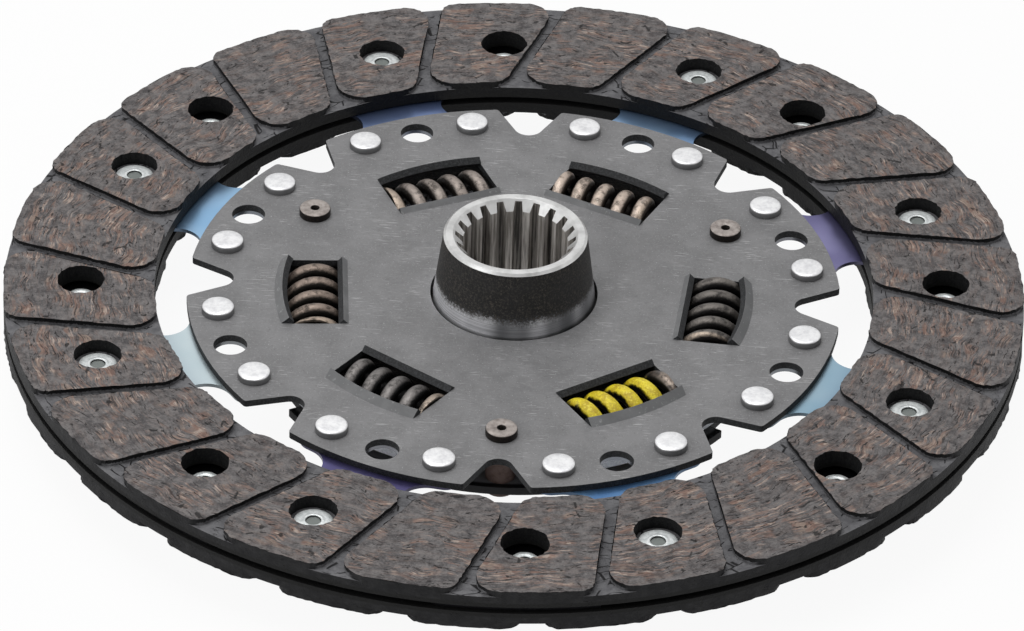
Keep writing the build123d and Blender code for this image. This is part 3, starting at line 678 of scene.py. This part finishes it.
def arrayed(piece, name, radius, angles, flipped=False):
    """One object of copies at a radius and each angle; the original is used up."""
    copies = [
        placed(copied(piece, f"{name}_{i}"), radius, angle, flipped)
        for i, angle in enumerate(angles)
    ]
    bpy.data.objects.remove(piece)
    return joined(copies, name)


def sharp_edges(piece, level):
    """Selects the sharp edges at a level, in millimetres, and gives each with its length."""
    editing(piece)
    bpy.ops.mesh.select_mode(type="EDGE")
    bpy.ops.mesh.select_all(action="DESELECT")
    bpy.ops.mesh.edges_select_sharp(sharpness=radians(30))
    finished()
    corners = piece.data.vertices
    found = []
    for edge in piece.data.edges:
        start, end = (corners[i].co for i in edge.vertices)
        if edge.select and max(abs(c.z - level * MM) for c in (start, end)) < 0.01 * MM:
            found.append((edge, (start - end).length))
    for kind in (piece.data.vertices, piece.data.edges, piece.data.polygons):
        kind.foreach_set("select", [False] * len(kind))
    for edge, _ in found:
        edge.select = True
    return found


def chip_edges(piece, level, depth, step, seed):
    """Breaks the sharp edges at a level into short steps, each worn in or out by up to a depth."""
    for cuts in (24, 12, 6, 3, 1):
        for edge, length in sharp_edges(piece, level):
            edge.select = length > step * MM * cuts
        editing(piece)
        bpy.ops.mesh.subdivide(number_cuts=cuts)
        finished()
    for edge, _ in sharp_edges(piece, level):
        for corner in edge.vertices:
            piece.data.vertices[corner].select = True
    editing(piece)
    bpy.ops.transform.vertex_random(offset=depth * MM, uniform=0.0, normal=1.0, seed=seed)
    bpy.ops.transform.resize(value=(1, 1, 0), center_override=(0, 0, level * MM))
    finished()


def rebuilt(node, name, merged=True):
    """A worked copy of a CAD node, with its loose triangles welded and its flats merged."""
    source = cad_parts[node]
    piece = copied(source, name)
    piece.parent = None
    piece.matrix_world = Matrix.Identity(4)
    piece.data.transform(source.matrix_world)
    editing(piece)
    bpy.ops.mesh.select_all(action="SELECT")
    bpy.ops.mesh.remove_doubles(threshold=WELD * MM)
    if merged:
        bpy.ops.mesh.dissolve_limited(angle_limit=radians(0.6))
    finished()
    return piece


def dressed(piece, body, slot, material, *nodes):
    """Gives a piece its finish and body, and hides the CAD nodes that it stands for. The slot is
    not used.
    """
    piece.data.materials.clear()
    piece.data.materials.append(material)
    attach(piece, body)
    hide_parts(*nodes)


def refinished(node, material):
    """A CAD node kept as it is, with a finish."""
    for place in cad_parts[node].material_slots:
        place.material = material


# ---------------------------------------------------------------- facings
CHIP_DEPTH = 0.2
CHIP_STEP = 1.0


def build_facings():
    lining = friction_lining()
    for side, top in (("upper", FACING_TOP), ("lower", -FACING_TOP)):
        piece = rebuilt(f"{side}_facing", f"{side}_friction_facing", merged=False)
        chip_edges(piece, top, CHIP_DEPTH, CHIP_STEP, seed=5)
        bpy.ops.object.shade_flat()
        dressed(piece, "disc", "friction_lining", lining, f"{side}_facing")


def facing_rivet():
    """A tubular rivet on its ledge, from the floor of its bore out and down to its tail."""
    head = RIVET_LEDGE + 0.5
    profile = [
        (1.3, head - 0.4), (1.35, head - 0.3), (1.4, head - 0.06), (1.5, head + 0.05),
        (1.8, head + 0.06), (2.0, head - 0.03), (2.3, head - 0.05), (2.7, head - 0.03),
        (3.35, head - 0.14), (3.62, head - 0.28), (3.65, head - 0.4), (3.6, RIVET_LEDGE),
        (2.28, RIVET_LEDGE), (2.28, FACING_BACK - 0.7), (2.7, FACING_BACK - 0.7),
        (2.6, FACING_BACK - 0.8), (2.1, FACING_BACK - 0.95), (1.9, FACING_BACK - 1.0),
        (1.7, FACING_BACK - 0.96), (1.3, FACING_BACK - 0.8), (1.25, FACING_BACK - 0.4),
    ]
    return softened(lathed("facing_rivet", profile, sides=40), RIVET_BREAK, segments=1, angle=50)


def build_facing_rivets():
    zinc = tubular_rivet_steel()
    for side, angles in (("upper", UPPER_RIVET_ANGLES), ("lower", LOWER_RIVET_ANGLES)):
        flipped = side == "lower"
        name = f"{side}_tubular_rivets"
        rivets = arrayed(facing_rivet(), name, FACING_RIVET_R, angles, flipped)
        dressed(rivets, "disc", "zinc_rivet", zinc, f"{side}_facing_rivets")


# ---------------------------------------------------------------- segments
# Each segment's main temper colour, its tint, and its darker tone towards the facings, part temper
# and part painted shade.
SEGMENT_TONES = {
    1: ((0.15, 0.14, 0.28), (0.22, 0.21, 0.38), (0.04, 0.04, 0.10)),
    2: ((0.18, 0.30, 0.50), (0.30, 0.46, 0.67), (0.06, 0.09, 0.18)),
    3: ((0.16, 0.22, 0.42), (0.24, 0.33, 0.56), (0.04, 0.06, 0.14)),
    4: ((0.25, 0.44, 0.66), (0.33, 0.52, 0.72), (0.06, 0.10, 0.20)),
    5: ((0.47, 0.57, 0.61), (0.56, 0.65, 0.68), (0.29, 0.37, 0.43)),
    6: ((0.08, 0.07, 0.18), (0.13, 0.12, 0.28), (0.03, 0.03, 0.08)),
    7: ((0.08, 0.19, 0.40), (0.17, 0.33, 0.56), (0.03, 0.06, 0.16)),
    8: ((0.24, 0.38, 0.48), (0.32, 0.45, 0.54), (0.12, 0.20, 0.30)),
}


def finish_segments():
    for number, tones in SEGMENT_TONES.items():
        refinished(f"cushion_segment_{number}", tempered_steel(f"tempered_{number}", *tones))


# ---------------------------------------------------------------- plates
# painted light: the retainer's tones are raised to stand in for light that reaches it
RETAINER_PAINTED_LIGHT = 1.3
# painted shade on the retainer beyond this radius
RETAINER_SHADE_R = 47.0


def build_plates():
    piece = softened(rebuilt("carrier_plate", "carrier_sheet"), EDGE_BREAK)
    sheet = carrier_sheet("carrier_phosphate")
    dressed(piece, "disc", "phosphated_sheet", sheet, "carrier_plate")
    piece = softened(rebuilt("retainer_plate", "retainer_sheet"), EDGE_BREAK)
    sheet = carrier_sheet("retainer_phosphate", RETAINER_PAINTED_LIGHT, RETAINER_SHADE_R)
    dressed(piece, "disc", "retainer_sheet", sheet, "retainer_plate")


def build_root_rivets():
    head = CARRIER_TOP + 1.4
    tail = -CARRIER_BOTTOM - 1.0
    profile = [
        (1.6, head), (2.6, head - 0.02), (2.85, head - 0.09), (3.0, head - 0.28),
        (3.05, head - 0.6), (3.05, CARRIER_TOP), (2.1, CARRIER_TOP), (2.1, -CARRIER_BOTTOM),
        (3.3, -CARRIER_BOTTOM), (3.3, tail + 0.3), (3.0, tail),
    ]
    rivet = softened(lathed("root_rivet", profile), RIVET_BREAK, segments=1, angle=50)
    rivets = arrayed(rivet, "root_rivets", ROOT_RIVET_R, ROOT_RIVET_ANGLES)
    dressed(rivets, "disc", "bright_rivet", root_rivet_steel(), "segment_rivets")


def build_stop_pins():
    head = CARRIER_TOP + 1.5
    tail = RETAINER_BOTTOM - 1.3
    profile = [
        (0.75, head - 2.0), (0.8, head - 0.15), (0.95, head), (2.6, head), (2.85, head - 0.1),
        (2.95, head - 0.3), (2.95, CARRIER_TOP), (2.3, CARRIER_TOP), (2.3, CARRIER_BOTTOM),
        (2.8, CARRIER_BOTTOM), (2.8, RETAINER_TOP), (2.3, RETAINER_TOP), (2.3, RETAINER_BOTTOM),
        (3.0, RETAINER_BOTTOM), (3.0, tail + 0.3), (2.7, tail),
    ]
    pin = softened(lathed("stop_pin", profile), PIN_BREAK, segments=1, angle=50)
    pins = arrayed(pin, "stepped_pins", STOP_PIN_R, PIN_ANGLES)
    dressed(pins, "disc", "pin_steel", pin_steel(), "stop_pins")


# ---------------------------------------------------------------- hub
def build_hub():
    piece = softened(rebuilt("hub", "splined_hub"), EDGE_BREAK)
    dressed(piece, "hub", "hub_steel", hub_steel(), "hub")


# ---------------------------------------------------------------- damper springs
WIRE_SIDES = 20
STEPS_A_TURN = 40


def spring_coil():
    """A right-handed coil along Y, swept by a screw from a round section, with ground ends."""
    start = (SPRING_OUTER_R - WIRE_R, -SPRING_TURNS * SPRING_PITCH / 2, 0)
    deselect()
    bpy.ops.mesh.primitive_circle_add(
        vertices=WIRE_SIDES, radius=WIRE_R * MM, location=[c * MM for c in start]
    )
    coil = bpy.context.object
    coil.name = "coil"
    bpy.ops.object.transform_apply(location=True)
    screw = coil.modifiers.new("turns", "SCREW")
    screw.axis = "Y"
    screw.angle = 2 * pi
    screw.screw_offset = SPRING_PITCH * MM
    screw.iterations = SPRING_TURNS
    screw.steps = screw.render_steps = STEPS_A_TURN
    bpy.ops.object.modifier_apply(modifier=screw.name)
    bpy.ops.object.mode_set(mode="EDIT")
    for side in (-1, 1):
        ground = (0, side * SPRING_L / 2 * MM, 0)
        bpy.ops.mesh.select_all(action="SELECT")
        bpy.ops.mesh.bisect(
            plane_co=ground, plane_no=(0, side, 0), use_fill=True, clear_outer=True
        )
    bpy.ops.mesh.select_all(action="SELECT")
    bpy.ops.mesh.remove_doubles(threshold=WELD * MM)
    bpy.ops.mesh.select_all(action="DESELECT")
    bpy.ops.mesh.select_non_manifold(extend=False)
    bpy.ops.mesh.edge_face_add()
    bpy.ops.mesh.select_all(action="SELECT")
    bpy.ops.mesh.normals_make_consistent(inside=False)
    finished()
    bpy.ops.object.shade_smooth_by_angle(angle=radians(40))
    return coil


# Each plain spring's slot, its rubbed tone on the outside of the coil with painted light, its oily
# tone inside with painted shade, and which of its ends is bare.
SPRING_TONES = {
    1: ("coil_tan", (0.40, 0.33, 0.28), (0.030, 0.022, 0.017), -1),
    2: ("coil_tan", (0.22, 0.19, 0.17), (0.014, 0.011, 0.009), 1),
    3: ("coil_brown", (0.19, 0.15, 0.125), (0.012, 0.010, 0.008), 1),
    4: ("coil_grey", (0.155, 0.145, 0.14), (0.008, 0.008, 0.008), 1),
    6: ("coil_dark", (0.105, 0.095, 0.087), (0.007, 0.006, 0.006), -1),
}


def build_springs():
    """A coil at each spring's place, with its own finish, in place of the spring's CAD node."""
    coil = spring_coil()
    for number, angle in enumerate(SPRING_ANGLES, 1):
        piece = placed(copied(coil, f"coil_spring_{number}"), SPRING_R, angle, height=SPRING_Z)
        if number in SPRING_TONES:
            slot, *tones = SPRING_TONES[number]
            material = spring_wire(f"wire_{number}", angle, *tones)
        else:
            slot, material = "coil_yellow", painted_wire(angle)
        dressed(piece, "springs", slot, material, f"damper_spring_{number}")
        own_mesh(piece)
    bpy.data.objects.remove(coil)


# ---------------------------------------------------------------- friction set
def finish_friction_set():
    tones = (0.05, 0.042, 0.038), (0.025, 0.022, 0.02)
    ring = plain_finish("friction_ring_compound", *tones, roughness=0.7)
    refinished("friction_ring_upper", ring)
    refinished("friction_ring_lower", ring)
    tones = (0.3, 0.3, 0.32), (0.2, 0.2, 0.21)
    spring = plain_finish("spring_sheet", *tones, roughness=0.35, metallic=0.9)
    refinished("diaphragm_spring", spring)
    tones = (0.03, 0.03, 0.03), (0.02, 0.02, 0.02)
    plastic = plain_finish("bush_plastic", *tones, roughness=0.5)
    refinished("centring_bush", plastic)


# ---------------------------------------------------------------- studio
CAMERA_TARGET = (0.0933, -9.5428, 3.15)
CAMERA_DISTANCE = 1402.1
CAMERA_ELEVATION = 35.40
CAMERA_AZIMUTH = 1.96
CAMERA_ROLL = 1.662
CAMERA_LENS = 265.985
SENSOR = 36.0

FLOOR_GLOW = 0.93  # how white the floor is where it is seen or mirrored
FLOOR_SIZE = 6.0
WORLD_LEVEL = 0.42
FRONT_LEVEL = 0.4  # the world's light from the front, as steel reflects it

# Place, size and power of each softbox, in metres and watts.
SOFTBOXES = {
    "top_softbox": ((-0.17, 0.08, 0.85), (0.7, 0.5), 3.7),
    "left_softbox": ((-0.65, -0.45, 0.42), (0.4, 0.5), 1.9),
}


def build_camera():
    up_tilt, turn, roll = radians(CAMERA_ELEVATION), radians(CAMERA_AZIMUTH), radians(CAMERA_ROLL)
    back = Vector((sin(turn) * cos(up_tilt), -cos(turn) * cos(up_tilt), sin(up_tilt)))
    level = Vector((cos(turn), sin(turn), 0))
    upright = back.cross(level)
    right = level * cos(roll) + upright * sin(roll)
    up = upright * cos(roll) - level * sin(roll)
    data = bpy.data.cameras.new("camera")
    data.lens = CAMERA_LENS
    data.sensor_width = SENSOR
    data.clip_end = 20
    camera = bpy.data.objects.new("camera", data)
    bpy.context.collection.objects.link(camera)
    place = Matrix.Translation(Vector(CAMERA_TARGET) * MM + back * (CAMERA_DISTANCE * MM))
    camera.matrix_world = place @ Matrix((right, up, back)).transposed().to_4x4()
    bpy.context.scene.camera = camera


def build_floor():
    deselect()
    bpy.ops.mesh.primitive_plane_add(size=FLOOR_SIZE, location=(0, 0, CAD_BOX[0][2]))
    floor = bpy.context.object
    floor.name = "floor"
    bpy.ops.object.transform_apply(location=True)
    f = Finish("floor_paper", {"Roughness": 1.0})
    f.paint((0.88, 0.88, 0.88))
    paper = Value(f, f.shader.outputs[0])
    glow = f.node("Emission", None, {"Color": (1, 1, 1, 1), "Strength": 1.0})
    factor = f.rays("Camera", "Glossy", "Transmission") * FLOOR_GLOW
    mixed = f.node("MixShader", None, {0: factor, 1: paper, 2: glow})
    f.feed(f.tree.nodes["Material Output"].inputs["Surface"], mixed)
    floor.data.materials.append(f.material)


def build_world():
    """White where it is seen, a dimmer dome elsewhere, and a darker front in reflections."""
    world = bpy.data.worlds.new("studio")
    bpy.context.scene.world = world
    world.use_nodes = True
    sky = NodeTree(world.node_tree)
    backwards = sky.part(sky.node("TexCoord", out="Generated"), "Y").rise(-0.75, 0.1)
    mirrored = backwards * (1 - FRONT_LEVEL) + FRONT_LEVEL
    level = sky.rays("Glossy") * (mirrored - WORLD_LEVEL) + WORLD_LEVEL
    level = sky.rays("Camera", "Transmission") * (1 - level) + level
    ground = sky.tree.nodes["Background"]
    ground.inputs["Color"].default_value = (1, 1, 1, 1)
    sky.feed(ground.inputs["Strength"], level)


def softbox(name, place, size, power):
    """A rectangular area light that looks at the disc's centre."""
    data = bpy.data.lights.new(name, "AREA")
    data.shape = "RECTANGLE"
    data.size, data.size_y = size
    data.energy = power
    light = bpy.data.objects.new(name, data)
    bpy.context.collection.objects.link(light)
    light.location = place
    light.rotation_euler = (-Vector(place)).to_track_quat("-Z", "Y").to_euler()


def build_studio():
    bpy.context.scene.view_settings.view_transform = "Standard"
    build_camera()
    build_floor()
    build_world()
    for name, settings in SOFTBOXES.items():
        softbox(name, *settings)


build_studio()
build_facings()
build_facing_rivets()
finish_segments()
build_plates()
build_root_rivets()
build_stop_pins()
build_hub()
build_springs()
finish_friction_set()
